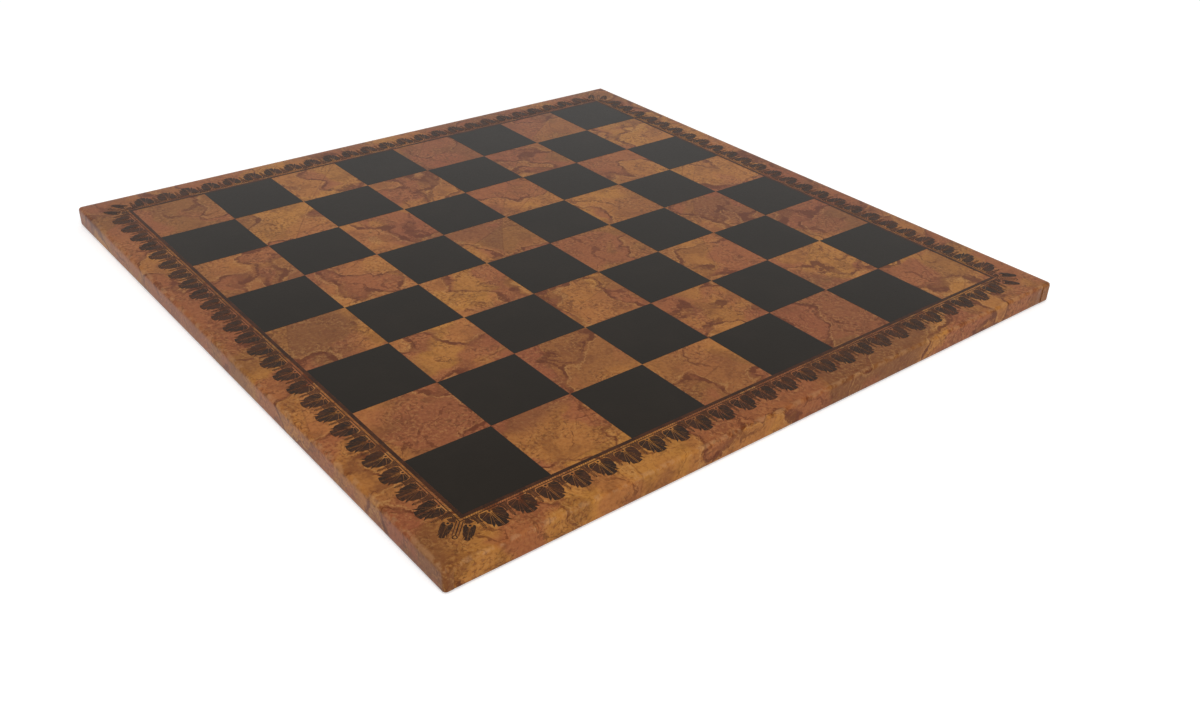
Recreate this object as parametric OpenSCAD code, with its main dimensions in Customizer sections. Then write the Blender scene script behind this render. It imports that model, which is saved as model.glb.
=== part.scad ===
// Wrapped chessboard: a fibreboard core in one printed leatherette sheet, lined underneath.
// Origin at the middle of the underside. Z is up and the front edge faces -Y.
// The two corners at low X, low Y and at high X, high Y have dark squares.

/* [Playing field] */
// Side of one square, middle of gap to middle of gap
square_side = 44; // [30:1:60]
// Squares along one side of the field
squares_across = 8; // [4:2:12]
// How far each dark film stays inside its own square
square_inset = 0.05; // [0.05:0.05:2]
// Plain and ornamented margin outside the field, to the board's side
margin = 24; // [20:1:50]

/* [Core panel] */
// Thickness of the core panel
core_thick = 10; // [5:0.5:20]
// Radius eased on the core's top edges and upright corners
core_ease = 1.3; // [0.5:0.1:2.5]
// Radius eased on the core's bottom edges
core_foot_ease = 0.3; // [0.1:0.1:0.5]

/* [Cover sheet] */
// Thickness of the leatherette sheet
sheet_thick = 0.7; // [0.4:0.1:1.5]
// Width of the sheet turned in under the core, from the board's side
turn_in = 15; // [8:1:30]
// Gap between two turn-ins along their mitre
mitre_gap = 0.3; // [0.1:0.1:1]

/* [Base lining] */
// Thickness of the soft lining where it covers the turn-ins
lining_thick = 0.6; // [0.3:0.1:1.5]
// How far the lining's edge lies inside the board's side
lining_inset = 6; // [4:0.5:7]
// Clearance between the lining's raised middle and the turn-ins' cut edges
lining_ease = 0.3; // [0.1:0.1:1]

/* [Printed films] */
// Thickness of every printed film
film_thick = 0.05; // [0.03:0.01:0.2]
// Width of the dark line round the field
line_width = 1.8; // [0.5:0.1:2.5]
// Bare hairline between the dark line and the border's rail
rail_gap = 1.1; // [0.5:0.1:2]
// Width of the rail that the leaves hang from
rail_width = 0.4; // [0.3:0.1:1.5]

/* [Leaf border] */
// Bare gap between the rail and the leaves
leaf_gap = 0.3; // [0.1:0.1:1]
// Length of one leaf, square to the board's side
leaf_length = 11.6; // [8:0.2:13]
// Wanted distance from leaf to leaf, evened out to a whole count along the side
leaf_spacing = 13.8; // [8:0.1:20]
// Bare ground between two leaves at their widest
leaf_clear = 3; // [1:0.1:4]
// Lobes round one leaf
leaf_lobes = 9; // [5:2:13]
// Depth of the notches between lobes, as a part of the leaf's radius
notch_depth = 0.2; // [0.05:0.01:0.4]
// Where a leaf is widest, as a part of its length from its foot
leaf_waist = 0.38; // [0.3:0.02:0.6]
// How far past the rail's corner the row's count reaches, where the corner ornament takes its turn
row_overrun = 0.6; // [0:0.1:2]

/* [Corner ornament] */
// Length of one corner leaf along the diagonal
corner_leaf_length = 9.6; // [8:0.2:12]
// Width of one corner leaf
corner_leaf_width = 6; // [4:0.2:7]
// Bare stem left between the two corner leaves
stem_width = 2.8; // [1:0.1:4]
// Bare gap between the rail's corner and the corner leaves
corner_gap = 1.1; // [1:0.1:3]

/* [Hidden] */
$fn = 64;

core_colour = [0.62, 0.48, 0.33];
cover_colour = [0.62, 0.40, 0.22];
lining_colour = [0.16, 0.12, 0.10];
square_colour = [0.13, 0.12, 0.12];
print_colour = [0.24, 0.16, 0.12];

field_side = squares_across * square_side;
board_side = field_side + 2 * margin;
core_side = board_side - 2 * sheet_thick;

core_z = lining_thick + sheet_thick;
core_top = core_z + core_thick;
cover_top = core_top + sheet_thick;
sheet_radius = core_ease + sheet_thick;
foot_radius = core_foot_ease + sheet_thick;

line_in = field_side / 2;
line_out = line_in + line_width;
rail_in = line_out + rail_gap;
rail_out = rail_in + rail_width;

row_length = 2 * (rail_out + row_overrun);
turns_a_side = round(row_length / leaf_spacing);
leaf_pitch = row_length / turns_a_side;
leaf_width = leaf_pitch - leaf_clear;
leaf_start = rail_out + leaf_gap;

// The shortest overlap that makes a cut clean
cut = 0.1;
// Points on each lobe of a leaf's outline
points_a_lobe = 4;

// A band seen from its end, from low z to high z, with its long edges rounded.
module band_end(width, z_low, z_high, foot, crown) {
    half = width / 2;
    difference() {
        translate([-half, z_low])
            square([width, z_high - z_low]);
        for (side = [-1, 1]) {
            rounded_off(side, half, z_high, -1, crown);
            rounded_off(side, half, z_low, 1, foot);
        }
    }
}

// The waste outside one round of a band's end, on the given side, towards the given way in z.
module rounded_off(side, half, z, way, radius) {
    difference() {
        translate([side * half, z])
            square(2 * radius, center = true);
        translate([side * (half - radius), z + way * radius])
            circle(radius);
        translate([side * (half - 1.5 * radius), z + way * radius])
            square([radius, 2 * radius], center = true);
        translate([side * half, z + way * 1.5 * radius])
            square([2 * radius, radius], center = true);
    }
}

// A square outline with round corners.
module round_square(side, radius) {
    inner = side - 2 * radius;
    square([side, inner], center = true);
    square([inner, side], center = true);
    for (x = [-1, 1], y = [-1, 1])
        translate([x * inner / 2, y * inner / 2])
            circle(radius);
}

// A square slab with round corners and rounded top and bottom edges.
module eased_slab(side, z_low, z_high, foot, crown, corner) {
    intersection() {
        rotate([90, 0, 0])
            linear_extrude(side, center = true)
                band_end(side, z_low, z_high, foot, crown);
        rotate([90, 0, 90])
            linear_extrude(side, center = true)
                band_end(side, z_low, z_high, foot, crown);
        translate([0, 0, z_low])
            linear_extrude(z_high - z_low)
                round_square(side, corner);
    }
}

// The panel that gives the board its stiffness.
module core_panel() {
    color(core_colour)
        eased_slab(core_side, core_z, core_top, core_foot_ease, core_ease, core_ease);
}

// One sheet over the top and sides, turned in underneath, with its corners mitred.
module cover_sheet() {
    window = board_side - 2 * turn_in;
    color(cover_colour)
        difference() {
            eased_slab(board_side, lining_thick, cover_top, foot_radius, sheet_radius, sheet_radius);
            eased_slab(core_side, core_z, core_top, core_foot_ease, core_ease, core_ease);
            translate([-window / 2, -window / 2, lining_thick - cut])
                cube([window, window, core_z - lining_thick + 2 * cut]);
            mitre_cuts(window);
        }
}

// The slits between neighbouring turn-ins, from the window's corners to the core's corners.
module mitre_cuts(window) {
    from = window / sqrt(2) - cut;
    to = (core_side / 2 - core_ease) * sqrt(2);
    for (turn = [45:90:315])
        rotate([0, 0, turn])
            translate([from, -mitre_gap / 2, lining_thick - cut])
                cube([to - from, mitre_gap, core_z - lining_thick + cut]);
}

// Soft lining: a thin skirt over the turn-ins and a thicker middle that fills the space inside them.
module base_lining() {
    skirt = board_side - 2 * lining_inset;
    middle = board_side - 2 * (turn_in + lining_ease);
    color(lining_colour) {
        translate([-skirt / 2, -skirt / 2, 0])
            cube([skirt, skirt, lining_thick]);
        translate([-middle / 2, -middle / 2, 0])
            cube([middle, middle, core_z]);
    }
}

// A printed film on the cover's top, from a flat outline.
module film(colour) {
    color(colour)
        translate([0, 0, cover_top])
            linear_extrude(film_thick)
                children();
}

// The dark squares, one film each.
module black_squares() {
    dark_side = square_side - 2 * square_inset;
    film(square_colour)
        for (column = [0:squares_across - 1], row = [0:squares_across - 1])
            if ((column + row) % 2 == 0)
                translate([column * square_side - line_in, row * square_side - line_in])
                    translate([square_inset, square_inset])
                        square(dark_side);
}

// A square ring between two half sides.
module ring(half_in, half_out) {
    difference() {
        square(2 * half_out, center = true);
        square(2 * half_in, center = true);
    }
}

// The line round the field and the rail of the border.
module field_outline() {
    film(print_colour) {
        ring(line_in, line_out);
        ring(rail_in, rail_out);
    }
}

// A leaf's outline, lobed all round, with its tip on +Y and its foot at the origin.
function leaf_outline(width, length) = [
    for (i = [0:leaf_lobes * points_a_lobe - 1])
        let (
            angle = 360 * i / (leaf_lobes * points_a_lobe),
            reach = 1 - notch_depth * (1 - abs(cos(leaf_lobes * angle / 2))),
            half = cos(angle) > 0 ? 1 - leaf_waist : leaf_waist
        )
        [width / 2 * reach * sin(angle), length * (leaf_waist + half * reach * cos(angle))]
];

// A row of leaves along the front side, tips outward, with the corner ornaments' turns left out.
module border() {
    film(print_colour)
        for (i = [1:turns_a_side - 1])
            translate([i * leaf_pitch - row_length / 2, -leaf_start])
                rotate(180)
                    polygon(leaf_outline(leaf_width, leaf_length));
}

module border_front() {
    border();
}

module border_right() {
    rotate(90)
        border();
}

module border_back() {
    rotate(180)
        border();
}

module border_left() {
    rotate(270)
        border();
}

// Two leaves at each corner, either side of a bare stem on the diagonal.
module corner_ornaments() {
    start = rail_out * sqrt(2) + corner_gap;
    film(print_colour)
        for (turn = [45:90:315], side = [-1, 1])
            rotate(turn)
                translate([start, side * (stem_width + corner_leaf_width) / 2])
                    rotate(-90)
                        polygon(leaf_outline(corner_leaf_width, corner_leaf_length));
}

core_panel();
cover_sheet();
base_lining();
black_squares();
field_outline();
border_front();
border_right();
border_back();
border_left();
corner_ornaments();
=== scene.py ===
"""A wrapped chessboard: one sheet of printed leatherette over a fibreboard panel, lined with felt.

The file follows the board as it is put together, from the panel out to the last stamped print.
Every length is in metres, and sizes that the frame already holds are read from it.
"""

import bpy
import bmesh
import math
from mathutils import Matrix, Vector, noise


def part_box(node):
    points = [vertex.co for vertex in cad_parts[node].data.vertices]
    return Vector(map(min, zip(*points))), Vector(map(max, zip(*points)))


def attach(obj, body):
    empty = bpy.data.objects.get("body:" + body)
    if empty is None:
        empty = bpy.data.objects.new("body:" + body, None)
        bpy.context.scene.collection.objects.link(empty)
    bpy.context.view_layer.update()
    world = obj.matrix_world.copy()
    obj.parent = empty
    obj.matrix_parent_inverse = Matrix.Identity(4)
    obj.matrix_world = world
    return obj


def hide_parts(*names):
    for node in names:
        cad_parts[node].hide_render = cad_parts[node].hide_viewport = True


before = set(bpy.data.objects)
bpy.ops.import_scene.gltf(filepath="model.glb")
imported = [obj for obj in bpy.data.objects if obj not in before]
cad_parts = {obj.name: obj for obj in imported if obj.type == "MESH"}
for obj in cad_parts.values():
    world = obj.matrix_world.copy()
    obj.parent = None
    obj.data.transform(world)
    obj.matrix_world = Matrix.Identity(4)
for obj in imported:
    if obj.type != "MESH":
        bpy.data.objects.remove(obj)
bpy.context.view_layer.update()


# Core panel
# The stiff panel inside the board: 10 mm of medium density fibreboard with its top edges eased.
# The cover hides all of it, so the frame's own shape stays and only gets its pressed-fibre finish.

FIBRE_LIGHT = (176, 142, 103)
FIBRE_DARK = (137, 104, 70)
FIBRE_SIZE = 0.004
FIBRE_LENGTHS = (1.0, 3.0, 2.0)
FIBRE_DEPTH = 0.0002
CHIP_SIZE = FIBRE_SIZE / 3
SEED_STEP = (1.37, -0.83, 0.59)


def paint(red, green, blue):
    """A colour in the usual 0 to 255 steps, as the linear colour that a shader takes."""
    steps = [value / 255 for value in (red, green, blue)]
    return [s / 12.92 if s < 0.04045 else ((s + 0.055) / 1.055) ** 2.4 for s in steps] + [1]


def add(tree, kind, **plain):
    """A new node in a tree, with its plain properties set."""
    node = tree.nodes.new(kind)
    for name, value in plain.items():
        setattr(node, name, value)
    return node


def feed(socket, value):
    """Joins an output to a socket, or sets the socket where the value is a plain one."""
    if isinstance(value, bpy.types.NodeSocket):
        socket.id_data.links.new(value, socket)
    else:
        socket.default_value = value


def sum_of(tree, operation, *values, clamp=False):
    """One step of arithmetic on two or three values."""
    step = add(tree, "ShaderNodeMath", operation=operation, use_clamp=clamp)
    for socket, value in zip(step.inputs, values):
        feed(socket, value)
    return step.outputs[0]


def sum_of_places(tree, operation, *values):
    """One step of arithmetic on places. Its outputs are a place and, for some steps, a length."""
    step = add(tree, "ShaderNodeVectorMath", operation=operation)
    for socket, value in zip(step.inputs, values):
        feed(socket, value)
    return step.outputs


def ramp(tree, value, low, high):
    """0 below low and 1 above high, with a smooth rise between. It falls where low is over high."""
    step = add(tree, "ShaderNodeMapRange", interpolation_type="SMOOTHSTEP")
    feed(step.inputs["Value"], value)
    feed(step.inputs["From Min"], min(low, high))
    feed(step.inputs["From Max"], max(low, high))
    feed(step.inputs["To Min"], 0 if low < high else 1)
    feed(step.inputs["To Max"], 1 if low < high else 0)
    return step.outputs["Result"]


def tint(tree, share, ground, over):
    """One colour laid over another, by a share from 0 to 1."""
    step = add(tree, "ShaderNodeMix", data_type="RGBA")
    feed(step.inputs["Factor"], share)
    feed(step.inputs["A"], ground)
    feed(step.inputs["B"], over)
    return step.outputs["Result"]


def cloud(tree, place, size, seed, detail=2.0, roughness=0.5, flat=False, colours=False):
    """Soft random patches about as large as size. Each seed gives other patches."""
    start = sum_of_places(tree, "ADD", place, [part * seed for part in SEED_STEP])
    step = add(tree, "ShaderNodeTexNoise", noise_dimensions="2D" if flat else "3D")
    feed(step.inputs["Vector"], start["Vector"])
    feed(step.inputs["Scale"], 1 / size)
    feed(step.inputs["Detail"], detail)
    feed(step.inputs["Roughness"], roughness)
    return step.outputs["Color" if colours else "Fac"]


def place_on_piece(tree):
    """The place of a point of the piece, in the frame's own metres."""
    return add(tree, "ShaderNodeTexCoord").outputs["Object"]


def finish_shader(tree, shader, colour, relief, roughness, depth, strength=1.0):
    """Sets a shader's colour, its relief, and its roughness, which grows with the relief."""
    least, spread = roughness
    feed(shader.inputs["Base Color"], colour)
    feed(shader.inputs["Roughness"], sum_of(tree, "MULTIPLY_ADD", relief, spread, least))
    bump = add(tree, "ShaderNodeBump")
    feed(bump.inputs["Strength"], strength)
    feed(bump.inputs["Distance"], depth)
    feed(bump.inputs["Height"], relief)
    feed(shader.inputs["Normal"], bump.outputs["Normal"])


def blank_material(name, **plain):
    """A material, its tree and its shader. Plain values go straight on the shader's sockets."""
    material = bpy.data.materials.new(name)
    material.use_nodes = True
    shader = material.node_tree.nodes["Principled BSDF"]
    for socket, value in plain.items():
        shader.inputs[socket.replace("_", " ")].default_value = value
    return material, material.node_tree, shader


def pressed_fibre():
    """Bare fibreboard: short matted fibres, some darker chips, dull all over."""
    material, tree, shader = blank_material("pressed_fibre", Specular_IOR_Level=0.3)
    place = place_on_piece(tree)
    drawn_out = sum_of_places(tree, "MULTIPLY", place, FIBRE_LENGTHS)["Vector"]
    fibres = cloud(tree, drawn_out, FIBRE_SIZE, 1, 6, 0.65)
    chips = cloud(tree, place, CHIP_SIZE, 2, 3)
    colour = tint(tree, ramp(tree, fibres, 0.35, 0.65), paint(*FIBRE_DARK), paint(*FIBRE_LIGHT))
    colour = tint(tree, ramp(tree, chips, 0.62, 0.7), colour, paint(*FIBRE_DARK))
    finish_shader(tree, shader, colour, fibres, roughness=(0.75, 0.2), depth=FIBRE_DEPTH)
    return material


def finish_frame_piece(name, material):
    """Gives a piece of the frame its finish, in place of the plain one that it came with."""
    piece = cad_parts[name]
    piece.data.materials.clear()
    piece.data.materials.append(material)
    return piece


finish_frame_piece("core_panel", pressed_fibre())


# Cover sheet
# One sheet of printed leatherette, about 0.7 mm thick, glued over the panel's top and sides and
# turned in 15 mm below, where its four flaps meet in mitres. At the corners the ears of the left
# and right flaps are folded round onto the front and back faces, and end in cut laps there.

cover_low, cover_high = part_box("cover_sheet")
_, core_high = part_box("core_panel")
HALF_BOARD = cover_high.x
BOARD_TOP = cover_high.z
SHEET_FOOT = cover_low.z
SHEET_THICK = BOARD_TOP - core_high.z
CROWN_RADIUS = 0.002
FOOT_RADIUS = 0.001
TURN_IN = 0.015
MITRE_GAP = 0.0003
FLAT_HALF = HALF_BOARD - CROWN_RADIUS
CORNER_ARC = CROWN_RADIUS * math.pi / 2

SIDE_STEPS = 72
CORNER_STEPS = 6
CROWN_STEPS = 6
WALL_STEPS = 5
FOOT_STEPS = 4
FLAP_INSETS = (0.002, 0.006, 0.0105, TURN_IN)

NEAR_LAP = -0.1955
FAR_LAP = 0.1925
LAP_STEP = 0.00012
LAP_GROOVE = 0.0004
LAP_OFFSETS = (-0.00004, 0.00006, 0.00022, 0.0006)
LAP_DEPTHS = (0, LAP_GROOVE, LAP_GROOVE, LAP_STEP)
LAP_FADE_FROM = BOARD_TOP - 0.0022
LAP_FADE_TO = BOARD_TOP - 0.0002
WAVE_DEPTH = 0.00010
WAVE_SIZE = 0.035
WAVE_HEIGHT = 0.009
WAVE_APART = 7.0
STEPS_A_METRE = 1e7
COVER_SHARP_ANGLE = 40
PLAIN_SHARP_ANGLE = 35
GRAIN_SIZE = 0.0011
GRAIN_DEPTH = 0.00006


def even_steps(count):
    """Evenly spread places along a side, from -1 to 1."""
    return [2 * i / count - 1 for i in range(count + 1)]


def steps_with_laps():
    """The same places along the front and back, with close ones added at each lap."""
    places = set(even_steps(SIDE_STEPS))
    for lap in (NEAR_LAP, FAR_LAP):
        way = 1 if lap < 0 else -1
        for offset in LAP_OFFSETS:
            place = (lap + way * offset) / FLAT_HALF
            places.update((place, -place))
    return sorted(places)


def lap_depth(along, height):
    """How far the front or back face lies behind the ears that lap onto it."""
    from_ear = min(along - NEAR_LAP, FAR_LAP - along)
    depth = LAP_STEP
    for i in range(len(LAP_OFFSETS) - 1):
        low, high = LAP_OFFSETS[i : i + 2]
        if low <= from_ear < high:
            share = (from_ear - low) / (high - low)
            depth = LAP_DEPTHS[i] + share * (LAP_DEPTHS[i + 1] - LAP_DEPTHS[i])
    if from_ear < LAP_OFFSETS[0]:
        depth = 0
    fade = (LAP_FADE_TO - height) / (LAP_FADE_TO - LAP_FADE_FROM)
    return depth * max(0, min(1, fade))


def sheet_stations(skin):
    """Stations round the edge: how far each is inside the board's side, its height and its depth.

    The depth is the length of sheet from the flat top. The skin is how far inside the sheet's
    outer face the stations lie, 0 for the outer face and the sheet's thickness for the inner one.
    """
    crown, foot = CROWN_RADIUS - skin, FOOT_RADIUS - skin
    top, bottom = BOARD_TOP - skin, SHEET_FOOT + skin
    stations = []
    for i in range(CROWN_STEPS + 1):
        turn = math.pi / 2 * i / CROWN_STEPS
        stations.append((CROWN_RADIUS - crown * math.sin(turn),
                         top - crown + crown * math.cos(turn), CROWN_RADIUS * turn))
    wall_top, wall_foot, depth = top - crown, bottom + foot, stations[-1][2]
    for i in range(1, WALL_STEPS + 1):
        fall = (wall_top - wall_foot) * i / WALL_STEPS
        stations.append((skin, wall_top - fall, depth + fall))
    depth = stations[-1][2]
    for i in range(1, FOOT_STEPS + 1):
        turn = math.pi / 2 * i / FOOT_STEPS
        stations.append((FOOT_RADIUS - foot * math.cos(turn),
                         wall_foot - foot * math.sin(turn), depth + FOOT_RADIUS * turn))
    depth = stations[-1][2]
    for inset in FLAP_INSETS:
        stations.append((inset, bottom, depth + inset - FOOT_RADIUS))
    return stations


def turned(side, x, y):
    """A place on the front side, carried round to another side. The front is 0, the right is 1."""
    quarter = ((1, 0), (0, 1), (-1, 0), (0, -1))[side]
    return x * quarter[0] - y * quarter[1], x * quarter[1] + y * quarter[0]


def sheet_row(corners, steps, station, skin):
    """One row of points round the board at a station, side by side, each with a corner after it."""
    inset, height, depth = station
    radius = max(CROWN_RADIUS - inset, 0)
    gap = MITRE_GAP * math.sqrt(0.5) if inset > CROWN_RADIUS else 0
    reach = min(FLAT_HALF, HALF_BOARD - inset) - gap
    row = []
    for side in range(4):
        straight = []
        for share in steps[side]:
            along, out = reach * share, HALF_BOARD - inset
            if skin == 0 and 0 < depth and inset < FOOT_RADIUS:
                wave = noise.noise(
                    Vector((along / WAVE_SIZE, height / WAVE_HEIGHT, WAVE_APART * side)))
                ease = min(1, depth / CROWN_RADIUS)
                out -= WAVE_DEPTH * ease * (0.5 + 0.5 * wave)
                if side % 2 == 0:
                    out -= lap_depth(along, height)
            x, y = turned(side, along, -out)
            straight.append(corners((x, y, height)))
        bend = []
        if gap == 0:
            for i in range(1, CORNER_STEPS):
                turn = math.pi / 2 * i / CORNER_STEPS
                x = FLAT_HALF + radius * math.sin(turn)
                y = -FLAT_HALF - radius * math.cos(turn)
                bend.append(corners((*turned(side, x, y), height)))
        row.append((straight, bend))
    return row


def owner_of(side, share_low, share_high):
    """Whose flap a stretch of a side belongs to: its own, or an ear of the side before or after."""
    middle = (share_low + share_high) / 2 * FLAT_HALF
    if side % 2 == 0 and middle < NEAR_LAP + LAP_OFFSETS[1]:
        return -1
    if side % 2 == 0 and middle > FAR_LAP - LAP_OFFSETS[1]:
        return 1
    return 0


def unfolded(side, start, end, upper, lower):
    """Where the corners of a patch of a flap lie on the flat sheet, before it was wrapped."""
    corners = ((start, upper), (start, lower), (end, lower), (end, upper))
    return [turned(side, along, -(FLAT_HALF + depth)) for along, depth in corners]


def wrapped_sheet():
    """The whole cover as one closed shell, with the flat sheet's own places as its UV map."""
    steps = [steps_with_laps(), even_steps(SIDE_STEPS)] * 2
    points, known, faces, places = [], {}, [], []

    def corner(co):
        key = tuple(round(value * STEPS_A_METRE) for value in co)
        if key not in known:
            known[key] = len(points)
            points.append(co)
        return known[key]

    def add_face(indices, flat):
        kept = [i for i in range(len(indices)) if indices[i] != indices[i - 1]]
        if len(kept) > 2:
            faces.append([indices[i] for i in kept])
            places.append([flat[i] for i in kept])

    def join_rows(upper, lower, upper_depth, lower_depth):
        for side in range(4):
            (up, up_bend), (low, low_bend) = upper[side], lower[side]
            shares = steps[side]
            for i in range(len(shares) - 1):
                owner = owner_of(side, shares[i], shares[i + 1])
                shift = owner * (2 * FLAT_HALF + CORNER_ARC)
                flap = (side + owner) % 4
                start = shares[i] * FLAT_HALF - shift
                end = shares[i + 1] * FLAT_HALF - shift
                add_face([up[i], low[i], low[i + 1], up[i + 1]],
                         unfolded(flap, start, end, upper_depth, lower_depth))
            if not (up_bend and low_bend):
                continue
            after = (side + 1) % 4
            up_round = [up[-1], *up_bend, upper[after][0][0]]
            low_round = [low[-1], *low_bend, lower[after][0][0]]
            flap, first = (side, FLAT_HALF) if side % 2 else (after, -FLAT_HALF - CORNER_ARC)
            for i in range(CORNER_STEPS):
                start = first + CORNER_ARC * i / CORNER_STEPS
                end = first + CORNER_ARC * (i + 1) / CORNER_STEPS
                add_face([up_round[i], low_round[i], low_round[i + 1], up_round[i + 1]],
                         unfolded(flap, start, end, upper_depth, lower_depth))

    def flat_top(height):
        grid = [[corner((x * FLAT_HALF, y * FLAT_HALF, height)) for y in steps[1]]
                for x in steps[0]]
        for i in range(len(steps[0]) - 1):
            for j in range(len(steps[1]) - 1):
                around = ((i, j), (i + 1, j), (i + 1, j + 1), (i, j + 1))
                add_face([grid[a][b] for a, b in around],
                         [(steps[0][a] * FLAT_HALF, steps[1][b] * FLAT_HALF) for a, b in around])

    rims = []
    for skin in (0, SHEET_THICK):
        stations = sheet_stations(skin)
        rows = [sheet_row(corner, steps, station, skin) for station in stations]
        for i in range(len(rows) - 1):
            join_rows(rows[i], rows[i + 1], stations[i][2], stations[i + 1][2])
        flat_top(BOARD_TOP - skin)
        rims.append((rows[-len(FLAP_INSETS):], stations[-len(FLAP_INSETS):]))

    (outer_rows, stations), (inner_rows, _) = rims
    for side in range(4):
        outer_rim, inner_rim = outer_rows[-1][side][0], inner_rows[-1][side][0]
        depth = stations[-1][2]
        for i in range(len(outer_rim) - 1):
            start, end = (steps[side][i + k] * FLAT_HALF for k in (0, 1))
            add_face([outer_rim[i], inner_rim[i], inner_rim[i + 1], outer_rim[i + 1]],
                     unfolded(side, start, end, depth, depth + SHEET_THICK))
        for end in (0, -1):
            for i in range(len(FLAP_INSETS) - 1):
                along = FLAT_HALF * steps[side][end]
                add_face([outer_rows[i][side][0][end], outer_rows[i + 1][side][0][end],
                          inner_rows[i + 1][side][0][end], inner_rows[i][side][0][end]],
                         unfolded(side, along, along, stations[i][2], stations[i + 1][2]))

    mesh = bpy.data.meshes.new("cover_sheet_wrap")
    mesh.from_pydata(points, [], faces)
    flat_map = mesh.uv_layers.new(name="flat_sheet")
    for face, uvs in zip(mesh.polygons, places):
        for loop, uv in zip(face.loop_indices, uvs):
            flat_map.data[loop].uv = uv
    return mesh


def even_out(mesh, sharp_angle=PLAIN_SHARP_ANGLE):
    """Turns every face outward, and shades the mesh smooth except across edges past the angle."""
    work = bmesh.new()
    work.from_mesh(mesh)
    bmesh.ops.recalc_face_normals(work, faces=work.faces)
    work.to_mesh(mesh)
    work.free()
    mesh.shade_smooth()
    mesh.set_sharp_from_angle(angle=math.radians(sharp_angle))


def set_down(name, data):
    """A new object in the scene."""
    thing = bpy.data.objects.new(name, data)
    bpy.context.scene.collection.objects.link(thing)
    return thing


def place_piece(name, mesh, material, slot, *nodes):
    """Puts a finished piece on the board, in the place of the frame's nodes where it has any."""
    piece = set_down(name, mesh)
    if material is not None:
        mesh.materials.clear()
        mesh.materials.append(material)
    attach(piece, "root")
    if nodes:
        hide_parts(*nodes)
    return piece


TAN = (174, 115, 52)
OCHRE = (162, 107, 44)
DUSKY = (117, 71, 38)
ROSE = (146, 80, 50)
RUSSET = (106, 56, 28)
COAST_INK = (84, 34, 8)
FINE_INK = (82, 44, 16)
PALE_FLECK = (190, 142, 82)
# Pale colour for the painted highlight along the crown of the top edge.
CROWN_HIGHLIGHT = (182, 140, 100)


def line_along(tree, value, level, half_width, core=0.35):
    """1 where a value passes through a level, and 0 away from it: a drawn line."""
    distance = sum_of(tree, "ABSOLUTE", sum_of(tree, "SUBTRACT", value, level))
    return ramp(tree, sum_of(tree, "DIVIDE", distance, half_width), 1, core)


def wandering(tree, place, size, reach, seed):
    """The place, pushed about at random, so that what is drawn there meanders."""
    push = cloud(tree, place, size, seed, 2, 0.5, True, True)
    centred = sum_of_places(tree, "SUBTRACT", push, (0.5, 0.5, 0.5))["Vector"]
    return sum_of_places(tree, "MULTIPLY_ADD", centred, (reach, reach, 0), place)["Vector"]


def long_arc(tree, place, centre, spacing):
    """How far a place is along the way between wide rings round a centre, from 0 to 1 and back."""
    away = sum_of_places(tree, "DISTANCE", place, centre)["Value"]
    return sum_of(tree, "DIVIDE", sum_of(tree, "PINGPONG", away, spacing), spacing)


def laid_over(tree, colour, *layers):
    """Printed shades over a colour, one after another, each as strong as its share of the ink."""
    for shade, share, strength in layers:
        colour = tint(tree, sum_of(tree, "MULTIPLY", share, strength), colour, paint(*shade))
    return colour


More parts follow.
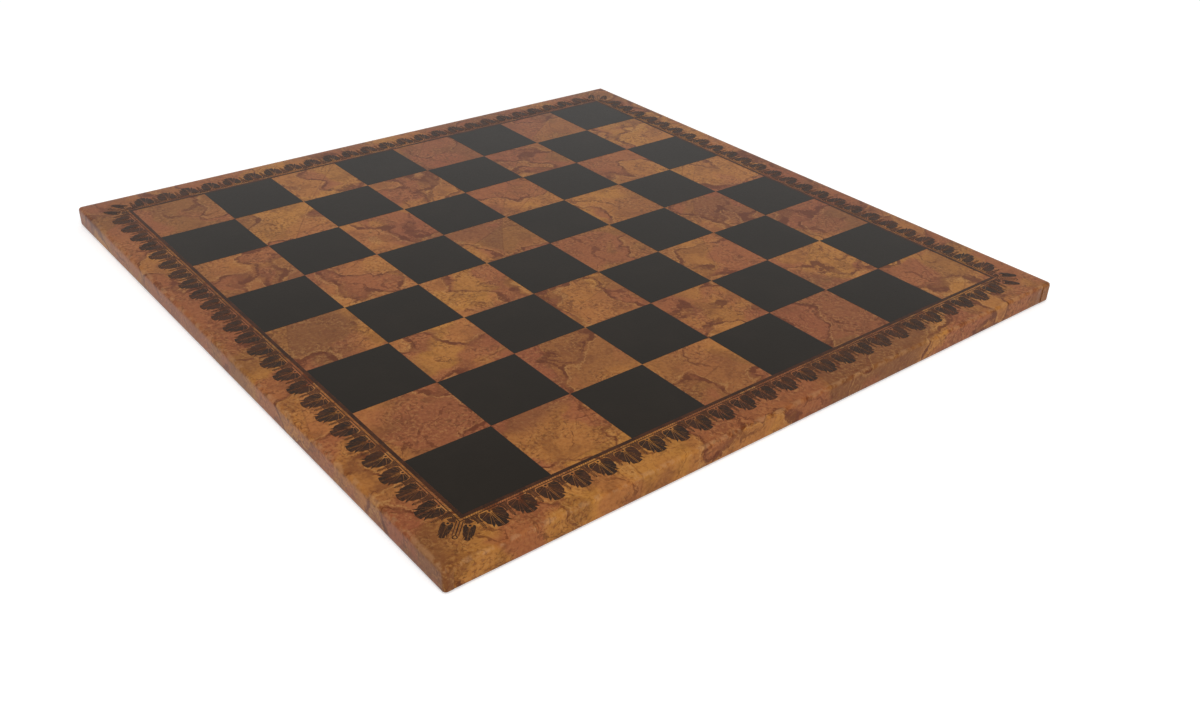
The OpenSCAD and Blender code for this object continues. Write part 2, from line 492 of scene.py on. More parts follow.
def printed_leatherette():
    """The sheet's finish: a tan ground with zones of colour, ragged dark lines and fine strokes."""
    material, tree, shader = blank_material(
        "printed_leatherette", Specular_IOR_Level=0.09, IOR=1.45)
    place = add(tree, "ShaderNodeUVMap", uv_map="flat_sheet").outputs["UV"]
    meander = wandering(tree, place, 0.026, 0.014, 1)
    ragged = wandering(tree, meander, 0.0040, 0.0046, 2)
    country = cloud(tree, ragged, 0.058, 345, 2, 0.5, True)
    lakes = cloud(tree, ragged, 0.050, 4, 2, 0.5, True)
    warmth = cloud(tree, meander, 0.044, 87, 2, 0.5, True)
    dusk = cloud(tree, meander, 0.084, 31, 1, 0.5, True)
    mottle = cloud(tree, place, 0.014, 6, 4, 0.6, True)
    speckle = cloud(tree, place, 0.0018, 17, 3, 0.6, True)
    nicks = sum_of(tree, "SUBTRACT", cloud(tree, place, 0.0013, 18, 2, 0.6, True), 0.5)
    first_arc = long_arc(tree, place, (-0.150, 0.310, 0), 0.088)
    second_arc = long_arc(tree, place, (0.420, -0.270, 0), 0.117)

    colour = tint(tree, ramp(tree, mottle, 0.40, 0.60), paint(*OCHRE), paint(*TAN))
    within = ramp(tree, country, 0.498, 0.504)
    rosy = ramp(tree, warmth, 0.45, 0.53)
    colour = laid_over(
        tree, colour,
        (DUSKY, ramp(tree, dusk, 0.43, 0.57), 0.92),
        (ROSE, rosy, 0.42),
        (ROSE, ramp(tree, first_arc, 0.494, 0.506), 0.25),
        (OCHRE, ramp(tree, second_arc, 0.506, 0.494), 0.30),
        (ROSE, sum_of(tree, "MULTIPLY", within, rosy), 0.55),
        (RUSSET, within, 0.14),
        (RUSSET, ramp(tree, mottle, 0.48, 0.36), 0.36))

    crowded = ramp(tree, cloud(tree, place, 0.022, 252, 2, 0.5, True), 0.44, 0.56)
    busy = sum_of(tree, "MULTIPLY_ADD", crowded, 0.55, 0.45)
    dark_specks = sum_of(tree, "MULTIPLY", ramp(tree, speckle, 0.52, 0.66), busy)
    pale_specks = sum_of(tree, "MULTIPLY", ramp(tree, speckle, 0.46, 0.34), busy)
    engraved = cloud(tree, ragged, 0.0060, 7, 1, 0.5, True)
    contour = sum_of(tree, "PINGPONG", sum_of(tree, "MULTIPLY", engraved, 9.0), 1.0)
    broken = ramp(tree, cloud(tree, place, 0.0040, 9, 2, 0.5, True), 0.42, 0.54)
    broken = sum_of(tree, "MULTIPLY", broken, busy)
    strokes = sum_of(tree, "MULTIPLY", ramp(tree, contour, 0.66, 0.90), broken)
    between = sum_of(tree, "MULTIPLY", ramp(tree, contour, 0.30, 0.08), broken)
    colour = laid_over(
        tree, colour,
        (RUSSET, dark_specks, 0.62),
        (PALE_FLECK, pale_specks, 0.22),
        (FINE_INK, strokes, 0.52),
        (PALE_FLECK, between, 0.13))

    coast = sum_of(tree, "MULTIPLY_ADD", nicks, 0.030, country)
    shore = sum_of(tree, "MULTIPLY_ADD", nicks, 0.024, lakes)
    boldness = ramp(tree, cloud(tree, place, 0.011, 19, 3, 0.6, True), 0.44, 0.60)
    coast_width = sum_of(tree, "MULTIPLY_ADD", boldness, 0.020, 0.0060)
    shore_width = sum_of(tree, "MULTIPLY_ADD", boldness, 0.016, 0.0040)
    inked = ramp(tree, mottle, 0.38, 0.50)
    wash = line_along(tree, country, 0.503, 0.030, 0.1)
    ink = sum_of(tree, "MAXIMUM", line_along(tree, coast, 0.503, coast_width, 0.6),
                 sum_of(tree, "MULTIPLY", line_along(tree, shore, 0.57, shore_width, 0.5), 0.85))
    arcs = sum_of(tree, "MAXIMUM", line_along(tree, first_arc, 0.5, 0.007),
                  line_along(tree, second_arc, 0.5, 0.005))
    ink = sum_of(tree, "MAXIMUM", ink, sum_of(tree, "MULTIPLY", arcs, 0.45))
    # A painted highlight: the sheet is paler in patches along the crown of its top edge, where the
    # edge turns to the light.
    apart = add(tree, "ShaderNodeSeparateXYZ")
    feed(apart.inputs[0], place)
    crease = sum_of(tree, "MAXIMUM", sum_of(tree, "ABSOLUTE", apart.outputs["X"]),
                    sum_of(tree, "ABSOLUTE", apart.outputs["Y"]))
    crown_highlight_line = line_along(tree, crease, FLAT_HALF + CORNER_ARC * 0.4, 0.0020, 0.2)
    rub_and_highlight_patches = ramp(tree, cloud(tree, place, 0.006, 20, 4, 0.6, True), 0.42, 0.60)
    colour = laid_over(
        tree, colour,
        (RUSSET, wash, 0.45),
        (PALE_FLECK, line_along(tree, coast, 0.478, 0.006), 0.30),
        (COAST_INK, sum_of(tree, "MULTIPLY", ink, inked), 0.70),
        (CROWN_HIGHLIGHT, sum_of(tree, "MULTIPLY", crown_highlight_line, rub_and_highlight_patches), 0.30))

    grain = cloud(tree, place, GRAIN_SIZE, 10, 3, 0.6, True)
    finish_shader(tree, shader, colour, grain,
                  roughness=(0.22, 0.20), depth=GRAIN_DEPTH, strength=0.6)
    return material


cover_mesh = wrapped_sheet()
even_out(cover_mesh, COVER_SHARP_ANGLE)
cover_sheet = place_piece("wrapped_cover", cover_mesh, printed_leatherette(),
                          "leatherette", "cover_sheet")


# Base lining
# A thin brown felt glued under the board, over the cut edges of the turned-in flaps. Its middle
# sinks into the window between the flaps, so it shows as a slightly raised skirt round a panel.

_, lining_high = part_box("base_lining")
LINING_HALF = lining_high.x
LINING_SKIRT = cover_low.z
LINING_CLEAR = 0.0003
LINING_MIDDLE = HALF_BOARD - TURN_IN - LINING_CLEAR
LINING_EASE = 0.0002
LINING_CORNER = 0.0008
LEAST_CORNER = 0.0002
LINING_STEPS = 4
FELT_SIZE = 0.0016
FELT_LENGTHS = (1.0, 2.5, 1.0)
FELT_DEPTH = 0.0003
FELT_BROWN = (74, 58, 48)
FELT_PALE = (104, 86, 72)


def round_square(half, radius, steps):
    """Points round a square with round corners."""
    points = []
    for side in range(4):
        for i in range(steps + 1):
            turn = math.pi / 2 * i / steps
            x = half - radius + radius * math.sin(turn)
            y = radius - half - radius * math.cos(turn)
            points.append(turned(side, x, y))
    return points


def band(first, count):
    """The faces between a ring of points and the ring after it in the list of points."""
    pairs = [(first + i, first + (i + 1) % count) for i in range(count)]
    return [[here, after, count + after, count + here] for here, after in pairs]


def plain_mesh(name, points, faces):
    """A mesh from its points and faces, evened out."""
    mesh = bpy.data.meshes.new(name)
    mesh.from_pydata(points, [], faces)
    even_out(mesh)
    return mesh


def stacked_rings(name, levels):
    """A closed solid from round-cornered squares stacked from the lowest up, each (half, z)."""
    points, faces = [], []
    count = 4 * (LINING_STEPS + 1)
    for half, height in levels:
        inset = levels[0][0] - half
        radius = max(LINING_CORNER - inset, LEAST_CORNER)
        points += [(x, y, height) for x, y in round_square(half, radius, LINING_STEPS)]
    for level in range(len(levels) - 1):
        faces += band(level * count, count)
    faces.append(list(range(count))[::-1])
    faces.append([len(points) - count + i for i in range(count)])
    return plain_mesh(name, points, faces)


def brown_felt():
    """Short matted felt: fine fibres, pressed streaks and a dusty sheen."""
    material, tree, shader = blank_material(
        "brown_felt", Specular_IOR_Level=0.15, Sheen_Weight=0.35, Sheen_Roughness=0.6)
    place = place_on_piece(tree)
    drawn_out = sum_of_places(tree, "MULTIPLY", place, FELT_LENGTHS)["Vector"]
    fibres = cloud(tree, drawn_out, FELT_SIZE, 11, 5, 0.7)
    patches = cloud(tree, place, 0.03, 12, 2)
    share = sum_of(tree, "ADD", ramp(tree, fibres, 0.40, 0.72),
                   sum_of(tree, "MULTIPLY_ADD", patches, 0.5, -0.25), clamp=True)
    colour = tint(tree, share, paint(*FELT_BROWN), paint(*FELT_PALE))
    finish_shader(tree, shader, colour, fibres, roughness=(0.88, 0.1), depth=FELT_DEPTH)
    return material


lining_levels = [
    (LINING_HALF - LINING_EASE, 0),
    (LINING_HALF, LINING_EASE),
    (LINING_HALF, LINING_SKIRT),
    (LINING_MIDDLE, LINING_SKIRT),
    (LINING_MIDDLE, lining_high.z),
]
base_lining = place_piece("felt_lining", stacked_rings("felt_lining", lining_levels),
                          brown_felt(), "lining", "base_lining")


# Black squares
# Thirty-two black films, hot-stamped onto the cover's top, one to each dark square. They fill
# their squares to the edge, so that the corners of neighbours just miss each other.

squares_low, squares_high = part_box("black_squares")
_, field_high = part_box("field_outline")
FILM_TOP = squares_high.z
FILM_FOOT = squares_low.z
SQUARES_ACROSS = 8
FIELD_INSET = 0.00005
SQUARE_SIDE = (squares_high.x - squares_low.x + 2 * FIELD_INSET) / SQUARES_ACROSS
SQUARE_CORNER = 0.0002
SQUARE_CORNER_STEPS = 2
FILM_GRAIN_DEPTH = 0.00005
STAMP_BLACK = (30, 24, 17)
STAMP_WORN = (41, 33, 25)


def shape_tree(name, sizes):
    """An empty Geometry Nodes tree with a mesh in, a mesh out, a finish and the named sizes."""
    tree = bpy.data.node_groups.new(name, "GeometryNodeTree")
    tree.interface.new_socket("Geometry", in_out="INPUT", socket_type="NodeSocketGeometry")
    tree.interface.new_socket("Geometry", in_out="OUTPUT", socket_type="NodeSocketGeometry")
    tree.interface.new_socket("Finish", in_out="INPUT", socket_type="NodeSocketMaterial")
    for label, kind in sizes:
        tree.interface.new_socket(label, in_out="INPUT", socket_type=kind)
    return tree, add(tree, "NodeGroupInput"), add(tree, "NodeGroupOutput")


def grown(name, seed_mesh, tree, finish, **sizes):
    """Runs a tree on a mesh and returns what it makes as a plain mesh."""
    holder = set_down(name + "_holder", seed_mesh)
    modifier = holder.modifiers.new(name, "NODES")
    modifier.node_group = tree
    for item in tree.interface.items_tree:
        if item.in_out == "INPUT" and item.name == "Finish":
            modifier[item.identifier] = finish
        elif item.in_out == "INPUT" and item.name in sizes:
            modifier[item.identifier] = sizes[item.name]
    bpy.context.view_layer.update()
    dg = bpy.context.evaluated_depsgraph_get()
    made = bpy.data.meshes.new_from_object(holder.evaluated_get(dg), depsgraph=dg)
    made.name = name
    bpy.data.objects.remove(holder)
    return made


def set_out_squares():
    """The tree that sets one film on every other square of the field."""
    tree, start, end = shape_tree("set_out_squares", [
        ("Across", "NodeSocketInt"), ("Side", "NodeSocketFloat")])
    across, side = start.outputs["Across"], start.outputs["Side"]
    span = sum_of(tree, "MULTIPLY", sum_of(tree, "SUBTRACT", across, 1), side)
    grid = add(tree, "GeometryNodeMeshGrid")
    for size in ("Size X", "Size Y"):
        feed(grid.inputs[size], span)
    for count in ("Vertices X", "Vertices Y"):
        feed(grid.inputs[count], across)
    index = add(tree, "GeometryNodeInputIndex").outputs[0]
    column = sum_of(tree, "FLOOR", sum_of(tree, "DIVIDE", index, across))
    parity = sum_of(tree, "MODULO", sum_of(tree, "ADD", column, index), 2)
    laid = add(tree, "GeometryNodeInstanceOnPoints")
    feed(laid.inputs["Points"], grid.outputs["Mesh"])
    feed(laid.inputs["Selection"], sum_of(tree, "LESS_THAN", parity, 0.5))
    feed(laid.inputs["Instance"], start.outputs["Geometry"])
    finish_shape(tree, laid.outputs["Instances"], start, end)
    return tree


def finish_shape(tree, shape, start, end):
    """Makes the laid copies real, gives them their finish and hands them out."""
    real = add(tree, "GeometryNodeRealizeInstances")
    finished = add(tree, "GeometryNodeSetMaterial")
    feed(real.inputs[0], shape)
    feed(finished.inputs["Geometry"], real.outputs[0])
    feed(finished.inputs["Material"], start.outputs["Finish"])
    feed(end.inputs["Geometry"], finished.outputs["Geometry"])


def film_plate(name, outlines):
    """A flat film from closed outlines, with upright edges."""
    points, faces = [], []
    for outline in outlines:
        first, count = len(points), len(outline)
        for height in (FILM_FOOT, FILM_TOP):
            points += [(x, y, height) for x, y in outline]
        faces.append([first + i for i in reversed(range(count))])
        faces.append([first + count + i for i in range(count)])
        faces += band(first, count)
    return plain_mesh(name, points, faces)


def stamped_black():
    """Matt black stamping film that takes the leatherette's grain and a few dull rubs."""
    material, tree, shader = blank_material("stamped_black", Specular_IOR_Level=0.08, IOR=1.45)
    place = place_on_piece(tree)
    grain = cloud(tree, place, GRAIN_SIZE, 13, 3, 0.6)
    rub_and_highlight_patches = cloud(tree, place, 0.03, 14, 4, 0.6)
    worn = sum_of(tree, "MULTIPLY", ramp(tree, rub_and_highlight_patches, 0.40, 0.75), 0.35)
    colour = tint(tree, worn, paint(*STAMP_BLACK), paint(*STAMP_WORN))
    finish_shader(tree, shader, colour, grain,
                  roughness=(0.22, 0.20), depth=FILM_GRAIN_DEPTH, strength=0.5)
    return material


one_square = film_plate("one_square", [
    round_square(SQUARE_SIDE / 2 - FIELD_INSET, SQUARE_CORNER, SQUARE_CORNER_STEPS)])
square_films = grown("black_square_films", one_square, set_out_squares(), stamped_black(),
                     Across=SQUARES_ACROSS, Side=SQUARE_SIDE)
place_piece("black_square_films", square_films, None, "black_print", "black_squares")


# Field outline
# The dark line round the sixty-four squares and the rail that the leaf border hangs from, both
# printed in dark brown. The frame's own shape is right, so it stays and gets the print's finish.

PRINT_BROWN = (57, 30, 13)
PRINT_DEEP = (37, 21, 9)
PRINT_THIN = (112, 72, 42)
LINE_BROWN = (64, 32, 12)
LINE_DEEP = (44, 22, 8)


def brown_print(name, thinness, deep=PRINT_DEEP, brown=PRINT_BROWN):
    """Dark brown ink, thinner in places, so that the tan ground shows through its grain."""
    material, tree, shader = blank_material(name, Specular_IOR_Level=0.10, IOR=1.45)
    place = place_on_piece(tree)
    patches = cloud(tree, place, 0.009, 15, 3, 0.6)
    specks = cloud(tree, place, GRAIN_SIZE, 16, 3, 0.6)
    colour = tint(tree, ramp(tree, patches, 0.40, 0.62), paint(*deep), paint(*brown))
    colour = laid_over(tree, colour, (PRINT_THIN, ramp(tree, specks, 0.50, 0.64), thinness))
    finish_shader(tree, shader, colour, specks,
                  roughness=(0.28, 0.22), depth=FILM_GRAIN_DEPTH, strength=0.5)
    return material


line_ink = brown_print("line_print", 0.15, LINE_DEEP, LINE_BROWN)
field_outline = finish_frame_piece("field_outline", line_ink)


# Leaf borders
# Four printed rows of broad leaves that hang from the rail, tips outward, one row to a side. Each
# leaf has a dot in a bare ring at its root and a midrib drawn between two bare lines, and is split
# into lobes by hair-thin bare veins.

leaf_low, leaf_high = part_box("border_front")
RAIL_OUT = field_high.x
LEAF_ROOT = -leaf_high.y
LEAF_LENGTH = leaf_high.y - leaf_low.y
ROW_OVERRUN = 0.0006
TURNS_A_SIDE = 26
LEAF_PITCH = 2 * (RAIL_OUT + ROW_OVERRUN) / TURNS_A_SIDE
LEAF_CLEAR = 0.0024
LEAF_WIDTH = LEAF_PITCH - LEAF_CLEAR
LEAF_FINGERS = 9
FINGER_POINTS = 8
TIP_NOTCH = 0.34
ROOT_NOTCH = 0.03
NOTCH_GROWTH = 3
NOTCH_SHARPNESS = 0.9
LEAF_WAIST = 0.34
ROOT_ROUNDNESS = 0.25
TIP_ROUNDNESS = 0.20
TIP_TAPER = 0.17
TAPER_ONSET = 0.25
TIP_FULLNESS = 0.55
LEAF_HEART = 0.055
HEART_RADIUS = 0.00055
HEART_BARE = 0.00125
RING_SLACK = 1.08
RING_HALVINGS = 20
DOT_SIDES = 10
VEIN_WIDTH = 0.00017
VEIN_TAPER = 0.75
MIDRIB_BARE = 0.086
MIDRIB_INK = 0.032


def leaf_side(ahead, aside):
    """Half the leaf's width, as a part of its widest, at a direction from its waist."""
    if ahead > 0:
        return aside ** TIP_ROUNDNESS * (1 - TIP_TAPER * ahead ** TAPER_ONSET)
    return aside ** ROOT_ROUNDNESS


def leaf_edge(angle, width, length):
    """A point of the leaf's fingered edge. Angle 0 is its tip, which points along +Y."""
    ahead, aside = math.cos(angle), math.sin(angle)
    notch = ROOT_NOTCH + (TIP_NOTCH - ROOT_NOTCH) * ((1 + ahead) / 2) ** NOTCH_GROWTH
    reach = 1 - notch * abs(math.sin(LEAF_FINGERS * angle / 2)) ** NOTCH_SHARPNESS
    out = math.copysign(leaf_side(ahead, abs(aside)), aside)
    if ahead > 0:
        rise = (1 - LEAF_WAIST) * reach * ahead ** TIP_FULLNESS
    else:
        rise = LEAF_WAIST * reach * ahead
    return width / 2 * reach * out, length * (LEAF_WAIST + rise)


def outside_ring(heart, edge):
    """The part of a stretch of edge that lies outside the bare ring round the heart."""
    ring = HEART_BARE * RING_SLACK
    kept = []
    for i, point in enumerate(edge):
        near = (point - heart).length < ring
        if i and near != ((edge[i - 1] - heart).length < ring):
            low, high = (edge[i - 1], point) if near else (point, edge[i - 1])
            for _ in range(RING_HALVINGS):
                middle = (low + high) / 2
                low, high = (low, middle) if (middle - heart).length < ring else (middle, high)
            kept.append(low)
        if not near:
            kept.append(point)
    return kept


def finger(heart, edge, first_vein, last_vein):
    """A sector from the heart to a stretch of edge, drawn in by half a vein along each side."""
    edge = outside_ring(heart, [Vector(point) for point in edge])
    first = (edge[0] - heart).normalized()
    last = (edge[-1] - heart).normalized()
    first_in = Vector((first.y, -first.x)) * first_vein / 2
    last_in = Vector((-last.y, last.x)) * last_vein / 2
    drawn = []
    for i, point in enumerate(edge):
        share = 2 * i / (len(edge) - 1) - 1
        drawn_in = first_in * max(0, -share) + last_in * max(0, share)
        drawn.append(point + drawn_in * VEIN_TAPER)
    spread = first.angle(last)
    first_meets = (last_vein + first_vein * math.cos(spread)) / 2 / math.sin(spread)
    last_meets = (first_vein + last_vein * math.cos(spread)) / 2 / math.sin(spread)
    if first_meets > HEART_BARE:
        roots = [heart + first * first_meets + first_in]
    else:
        roots = [heart + last * max(HEART_BARE, last_meets) + last_in,
                 heart + first * HEART_BARE + first_in]
    return [tuple(point) for point in drawn + roots]


def disc(x, y, radius):
    """A small round dot."""
    turns = [2 * math.pi * i / DOT_SIDES for i in range(DOT_SIDES)]
    return [(x + radius * math.cos(turn), y + radius * math.sin(turn)) for turn in turns]


def upright_line(aside, width, foot, tip):
    """A straight line of ink along +Y."""
    low, high = aside - width / 2, aside + width / 2
    return [(low, foot), (high, foot), (high, tip), (low, tip)]


def fingered_leaf(width, length):
    """The outlines of one leaf: its fingers, fanned out from a heart, its midrib and a dot."""
    heart = Vector((0, LEAF_HEART * length))
    vein = VEIN_WIDTH * width / LEAF_WIDTH
    bare = MIDRIB_BARE * width
    tip = leaf_edge(0, width, length)[1]
    outlines = [disc(*heart, HEART_RADIUS),
                upright_line(0, MIDRIB_INK * width, heart.y + HEART_BARE, tip)]
    turn = 2 * math.pi / LEAF_FINGERS
    stretches = [(count - 0.5, count + 0.5, vein, vein) for count in range(1, LEAF_FINGERS)]
    stretches += [(-0.5, 0, vein, bare), (0, 0.5, bare, vein)]
    for start, end, first_vein, last_vein in stretches:
        steps = [start + (end - start) * i / FINGER_POINTS for i in range(FINGER_POINTS + 1)]
        edge = [leaf_edge(turn * step, width, length) for step in steps]
        outlines.append(finger(heart, edge, first_vein, last_vein))
    return outlines


def hang_row():
    """The tree that hangs a row of one shape from the rail, at an even pitch along one side."""
    tree, start, end = shape_tree("hang_row", [
        ("Count", "NodeSocketInt"), ("Pitch", "NodeSocketFloat"),
        ("Root", "NodeSocketFloat"), ("Turn", "NodeSocketFloat")])
    count, pitch = start.outputs["Count"], start.outputs["Pitch"]
    span = sum_of(tree, "MULTIPLY", sum_of(tree, "SUBTRACT", count, 1), pitch)
    first = add(tree, "ShaderNodeCombineXYZ")
    feed(first.inputs["X"], sum_of(tree, "MULTIPLY", span, -0.5))
    feed(first.inputs["Y"], sum_of(tree, "MULTIPLY", start.outputs["Root"], -1.0))
    offset = add(tree, "ShaderNodeCombineXYZ")
    feed(offset.inputs["X"], pitch)
    line = add(tree, "GeometryNodeMeshLine", mode="OFFSET")
    feed(line.inputs["Count"], count)
    feed(line.inputs["Start Location"], first.outputs[0])
    feed(line.inputs["Offset"], offset.outputs[0])
    laid = add(tree, "GeometryNodeInstanceOnPoints")
    feed(laid.inputs["Points"], line.outputs["Mesh"])
    feed(laid.inputs["Instance"], start.outputs["Geometry"])
    feed(laid.inputs["Rotation"], (0, 0, math.pi))
    swing = add(tree, "ShaderNodeCombineXYZ")
    feed(swing.inputs["Z"], start.outputs["Turn"])
    swung = add(tree, "GeometryNodeTransform")
    feed(swung.inputs["Geometry"], laid.outputs["Instances"])
    feed(swung.inputs["Rotation"], swing.outputs[0])
    finish_shape(tree, swung.outputs["Geometry"], start, end)
    return tree


SIDES = ("front", "right", "back", "left")
row_tree = hang_row()


def hang_rows(ending, shape, finish, count, pitch, root, replaced=None):
    """Hangs a row of one shape along each side, in place of the side's node where it has one."""
    for side, side_name in enumerate(SIDES):
        name = side_name + ending
        row = grown(name, shape, row_tree, finish,
                    Count=count, Pitch=pitch, Root=root, Turn=side * math.pi / 2)
        nodes = [replaced + side_name] if replaced else []
        place_piece(name, row, None, "brown_print", *nodes)


brown_ink = brown_print("brown_print", 0.20)
leaf_mesh = film_plate("one_leaf", fingered_leaf(LEAF_WIDTH, LEAF_LENGTH))
hang_rows("_leaf_row", leaf_mesh, brown_ink, TURNS_A_SIDE - 1, LEAF_PITCH, LEAF_ROOT, "border_")


# Sprigs between the leaves
# Between each two leaves a fern-like sprig grows from the rail, printed in a thinner brown. Its
# lower leaflets lie level and fill the room between the leaves, and its upper ones are short.

SPRIG_CLEAR = 0.00006
SPRIG_PAIRS = 13
SPRIG_FIRST = 0.00035
SPRIG_PITCH = 0.00064
SPRIG_NECK = 0.0050
FOOT_LEAN = 86
TOP_LEAN = 38
TOP_REACH = 0.00034
LEAFLET_WIDTH = 0.00056
LEAFLET_BLUNT = 0.06
LEAFLET_RISES = (0.0001, 0.0003, 0.0005)
STALK_WIDTH = 0.00028
STALK_LIFT = 0.00005
STALK_GAP = 0.00006
SPRIG_LENGTH = 0.0085
BUD_RADIUS = 0.00042
HALF_BROWN = (82, 46, 24)
HALF_DEEP = (58, 32, 16)


def beside_leaf(height):
    """Half the room between two leaves at a height over the rail, clear of both."""
    share = (height - (LEAF_ROOT - RAIL_OUT)) / LEAF_LENGTH
    if share <= 0:
        return LEAF_PITCH / 2 - HEART_BARE
    if share > LEAF_WAIST:
        ahead = min(1, (share - LEAF_WAIST) / (1 - LEAF_WAIST)) ** (1 / TIP_FULLNESS)
    else:
        ahead = share / LEAF_WAIST - 1
    aside = leaf_side(ahead, math.sqrt(1 - ahead * ahead))
    return LEAF_PITCH / 2 - LEAF_WIDTH / 2 * aside - SPRIG_CLEAR


def carried(outline, angle, foot=(0, 0)):
    """An outline turned about the origin, with its origin then carried to a foot."""
    swing = Matrix.Rotation(angle, 2)
    return [tuple(Vector(foot) + swing @ Vector(point)) for point in outline]


def leaflet(x, y, lean, length, width=LEAFLET_WIDTH):
    """A slim leaflet from its foot, leaning from +Y by an angle in degrees, blunt at both ends."""
    half = width / 2
    low, high = LEAFLET_BLUNT * length, (1 - LEAFLET_BLUNT) * length
    outline = [(0, 0), (-half, low), (-half, high), (0, length), (half, high), (half, low)]
    return carried(outline, -math.radians(lean), (x, y))


def sprig():
    """The outlines of one sprig, with its foot on the rail."""
    half = STALK_WIDTH / 2
    outlines = [upright_line(0, STALK_WIDTH, STALK_LIFT, SPRIG_LENGTH)]
    for pair in range(SPRIG_PAIRS):
        height = SPRIG_FIRST + SPRIG_PITCH * pair
        lean = FOOT_LEAN if height < SPRIG_NECK else TOP_LEAN
        reach = LEAF_PITCH / 2 if height < SPRIG_NECK else TOP_REACH
        width = LEAFLET_WIDTH * math.sin(math.radians(lean))
        start = half + STALK_GAP + width / 2 * math.cos(math.radians(lean))
        for rise in LEAFLET_RISES:
            reach = min(reach, beside_leaf(height + rise) - start)
        for hand in (-1, 1):
            outlines.append(leaflet(hand * start, height, hand * lean,
                                    reach / math.sin(math.radians(lean)), width))
    outlines.append(disc(0, SPRIG_LENGTH + BUD_RADIUS + STALK_GAP, BUD_RADIUS))
    return outlines


sprig_mesh = film_plate("one_sprig", sprig())
half_ink = brown_print("half_print", 0.25, HALF_DEEP, HALF_BROWN)
hang_rows("_sprig_row", sprig_mesh, half_ink, TURNS_A_SIDE, LEAF_PITCH, RAIL_OUT)


# Twisted hairline
# The bare hairline between the dark line and the rail is crossed by slanting ticks of ink, so
# that it reads as a fine twisted cord all round the field.

TICK_PITCH = 0.00115
TICK_WIDTH = 0.00016
TICK_SLANT = 0.00060
ring_sides = sorted({round(abs(corner.co.x), 6) for corner in field_outline.data.vertices})
LINE_OUT, RAIL_IN = ring_sides[1:3]
tick_length = RAIL_IN - LINE_OUT
tick_outline = [(-TICK_WIDTH / 2 - TICK_SLANT / 2, 0), (TICK_WIDTH / 2 - TICK_SLANT / 2, 0),
                (TICK_WIDTH / 2 + TICK_SLANT / 2, tick_length),
                (-TICK_WIDTH / 2 + TICK_SLANT / 2, tick_length)]
tick_mesh = film_plate("one_tick", [tick_outline])
ticks_a_side = int(2 * LINE_OUT / TICK_PITCH)
hang_rows("_hairline", tick_mesh, brown_ink, ticks_a_side, TICK_PITCH, LINE_OUT)


# Corner ornaments
# At each corner of the rail two dark leaves lie along the diagonal, either side of a bare stem
# with a thin dark line down it, which ends in a bare bead. Short leaflets fill the rail's corner.

CORNER_LEAF_LENGTH = 0.0098
CORNER_LEAF_WIDTH = 0.0052
CORNER_LEAF_ASIDE = 0.0044
CORNER_LEAF_LEAN = 4
RAIL_CORNER = RAIL_OUT * math.sqrt(2)
CORNER_GAP = 0.0009
CORNER_START = RAIL_CORNER + CORNER_GAP
STEM_WIDTH = 0.0005
STEM_CLEAR = 0.0001
STEM_SIDE = 0.0013
SIDE_LINE_WIDTH = 0.00045
STEM_LENGTH = 0.0084
BEAD_AT = CORNER_START + STEM_LENGTH
BEAD_BARE = 0.0007
BEAD_RIM = 0.0012
BEAD_FROM = -84
BEAD_ROUND = 348
BEAD_STEPS = 16
SIDE_LINE_TIP = BEAD_AT - BEAD_BARE * 1.6


def corner_leaf(hand):
    """One side's corner leaf: the row's leaf, smaller and leaning away from the stem."""
    lean = -math.radians(hand * CORNER_LEAF_LEAN)
    foot = (hand * CORNER_LEAF_ASIDE, CORNER_START)
    outlines = fingered_leaf(CORNER_LEAF_WIDTH, CORNER_LEAF_LENGTH)
    return [carried(outline, lean, foot) for outline in outlines]


stem = upright_line(0, STEM_WIDTH, RAIL_CORNER + STEM_CLEAR, BEAD_AT - BEAD_RIM)


def bead_rim():
    """A ring of ink round the bare bead, left open by a hair where it meets the stem."""
    turns = [math.radians(BEAD_FROM + BEAD_ROUND * i / BEAD_STEPS) for i in range(BEAD_STEPS + 1)]
    outer = [(BEAD_RIM * math.cos(t), BEAD_AT + BEAD_RIM * math.sin(t)) for t in turns]
    inner = [(BEAD_BARE * math.cos(t), BEAD_AT + BEAD_BARE * math.sin(t)) for t in turns]
    return outer + inner[::-1]


CORNER_LEAFLETS = 5
LEAFLET_FOOT = 0.0024
LEAF_FOOT_ROOM = 0.00079
LEAFLET_TIP = 0.0040
LEAFLET_GROWTH = SPRIG_PITCH / 4
CORNER_LEAFLET_LEAN = 135


def corner_sprig(hand):
    """The line on one side of the stem, and leaflets along the rail up to the corner leaf."""
    outlines = [upright_line(hand * STEM_SIDE, SIDE_LINE_WIDTH,
                             RAIL_CORNER - STEM_SIDE / 2, SIDE_LINE_TIP)]
    for count in range(CORNER_LEAFLETS):
        clear = SPRIG_FIRST + SPRIG_PITCH * count
        foot = max(LEAFLET_FOOT - clear, clear - LEAF_FOOT_ROOM)
        tip = LEAFLET_TIP + LEAFLET_GROWTH * count
        outlines.append(leaflet(hand * (clear + foot) / math.sqrt(2),
                                RAIL_CORNER + (clear - foot) / math.sqrt(2),
                                hand * CORNER_LEAFLET_LEAN, tip - foot))
    return outlines


corner_outlines, corner_fill = [], []
for quarter in range(4):
    diagonal = (quarter - 1.5) * math.pi / 2
    for outline in (*corner_leaf(-1), *corner_leaf(1), stem, bead_rim()):
        corner_outlines.append(carried(outline, diagonal))
    for outline in (*corner_sprig(-1), *corner_sprig(1)):
        corner_fill.append(carried(outline, diagonal))
place_piece("corner_sprigs", film_plate("corner_sprigs", corner_fill), half_ink, "brown_print")
place_piece("corner_leaf_pairs", film_plate("corner_leaf_pairs", corner_outlines),
            brown_print("deep_brown_print", 0.25), "brown_print", "corner_ornaments")


# Studio
# The board lies on a plain pale floor, under a wide soft lamp, with a fill from each near side and
# an even glow all round. The floor reads as white but keeps the board's shadow, because it is
# lifted less near the board than far from the lamps.

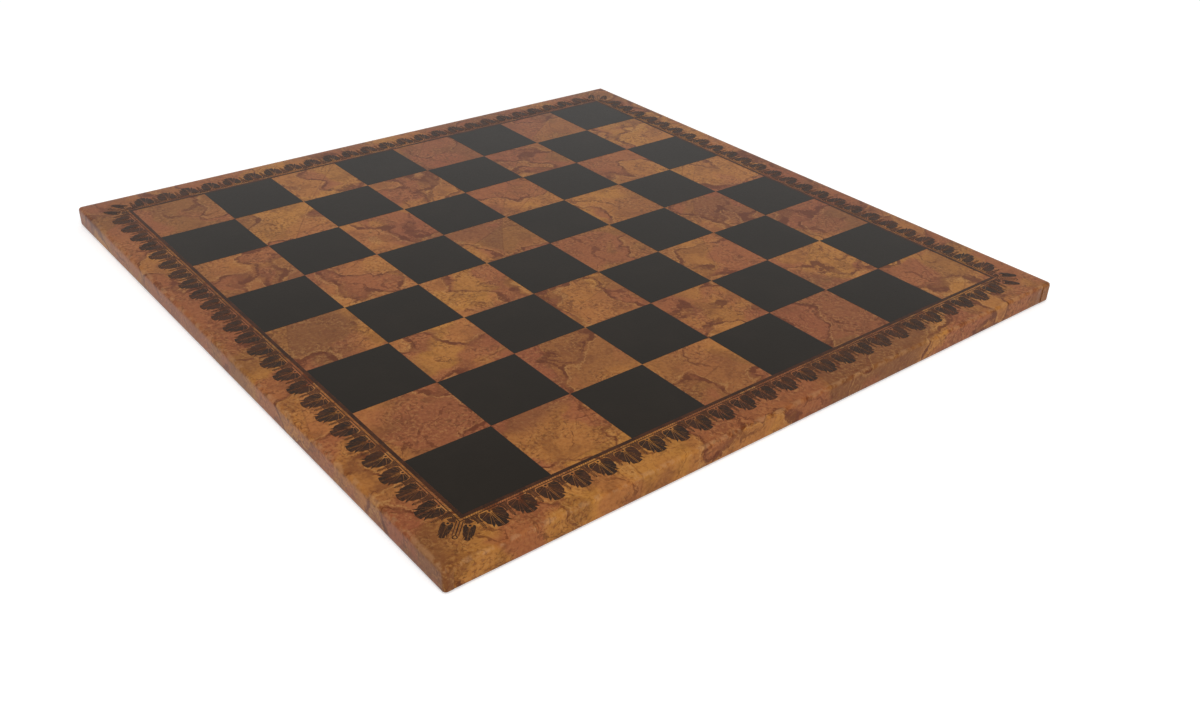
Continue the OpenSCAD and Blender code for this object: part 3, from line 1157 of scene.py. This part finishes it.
FLOOR_HALF = 6.0
FLOOR_WHITE = (0.8, 0.8, 0.8, 1)
LIFT_NEAR_BOARD = 0.42
LIFT_FAR_AWAY = 0.62
SHADOW_REACH = 0.40
FAR_AWAY = 1.3
GLOW_FOR_LIGHT = 0.50


def seen_directly(tree):
    """1 for what the camera sees, also in a gloss or through a clear piece, and 0 for light."""
    rays = add(tree, "ShaderNodeLightPath")
    seen = sum_of(tree, "ADD", rays.outputs["Is Camera Ray"], rays.outputs["Is Glossy Ray"])
    return sum_of(tree, "ADD", seen, rays.outputs["Is Transmission Ray"], clamp=True)


world = bpy.data.worlds.new("studio_glow")
bpy.context.scene.world = world
world.use_nodes = True
glow = world.node_tree
glow.nodes.clear()
backdrop = add(glow, "ShaderNodeBackground")
feed(backdrop.inputs["Color"], (1, 1, 1, 1))
feed(backdrop.inputs["Strength"],
     sum_of(glow, "MULTIPLY_ADD", seen_directly(glow), 1 - GLOW_FOR_LIGHT, GLOW_FOR_LIGHT))
feed(add(glow, "ShaderNodeOutputWorld").inputs["Surface"], backdrop.outputs[0])

floor_mesh = bpy.data.meshes.new("floor")
floor_mesh.from_pydata(
    [(x * FLOOR_HALF, y * FLOOR_HALF, 0) for x, y in ((-1, -1), (1, -1), (1, 1), (-1, 1))],
    [], [(0, 1, 2, 3)])
floor = set_down("floor", floor_mesh)
floor_paint = bpy.data.materials.new("pale_floor")
floor_paint.use_nodes = True
ground = floor_paint.node_tree
ground.nodes.clear()
matt = add(ground, "ShaderNodeBsdfDiffuse")
feed(matt.inputs["Color"], FLOOR_WHITE)
from_board = sum_of_places(ground, "LENGTH", place_on_piece(ground))["Value"]
farness = ramp(ground, from_board, SHADOW_REACH, FAR_AWAY)
lift_level = sum_of(ground, "MULTIPLY_ADD", farness,
                    LIFT_FAR_AWAY - LIFT_NEAR_BOARD, LIFT_NEAR_BOARD)
lift = add(ground, "ShaderNodeEmission")
feed(lift.inputs["Strength"], sum_of(ground, "MULTIPLY", seen_directly(ground), lift_level))
both = add(ground, "ShaderNodeAddShader")
feed(both.inputs[0], matt.outputs[0])
feed(both.inputs[1], lift.outputs[0])
feed(add(ground, "ShaderNodeOutputMaterial").inputs["Surface"], both.outputs[0])
floor_mesh.materials.append(floor_paint)


def soft_lamp(name, place, size, power):
    """A square soft lamp that faces the middle of the board."""
    light = bpy.data.lights.new(name, "AREA")
    light.shape = "SQUARE"
    light.size = size
    light.energy = power
    lamp = set_down(name, light)
    lamp.location = place
    lamp.rotation_mode = "QUATERNION"
    lamp.rotation_quaternion = (-Vector(place)).to_track_quat("-Z", "Y")


soft_lamp("overhead_lamp", place=(-0.35, -0.45, 1.15), size=0.9, power=5.6)
soft_lamp("left_fill", place=(-2.1, 0.1, 0.7), size=1.2, power=7.6)
soft_lamp("front_fill", place=(0.2, -2.1, 0.8), size=1.2, power=13.2)


# Camera
# It stands over the near corner, a little left of it, and looks down along the board's diagonal.
# The place and angles are those at which the board's corners fall where they do in the photograph.

CAMERA_PLACE = (-0.3721, -0.4878, 0.3085)
CAMERA_TURN = -40.245
CAMERA_DIP = 30.919
CAMERA_ROLL = 2.338
CAMERA_LENS = 35.34
CAMERA_SENSOR = 36

camera = set_down("camera", bpy.data.cameras.new("camera"))
camera.data.lens = CAMERA_LENS
camera.data.sensor_width = CAMERA_SENSOR
camera.data.clip_start = 0.01
camera.matrix_world = (
    Matrix.Translation(CAMERA_PLACE)
    @ Matrix.Rotation(math.radians(CAMERA_TURN), 4, "Z")
    @ Matrix.Rotation(math.radians(90 - CAMERA_DIP), 4, "X")
    @ Matrix.Rotation(math.radians(CAMERA_ROLL), 4, "Z")
)
bpy.context.scene.camera = camera
bpy.context.scene.view_settings.view_transform = "Standard"
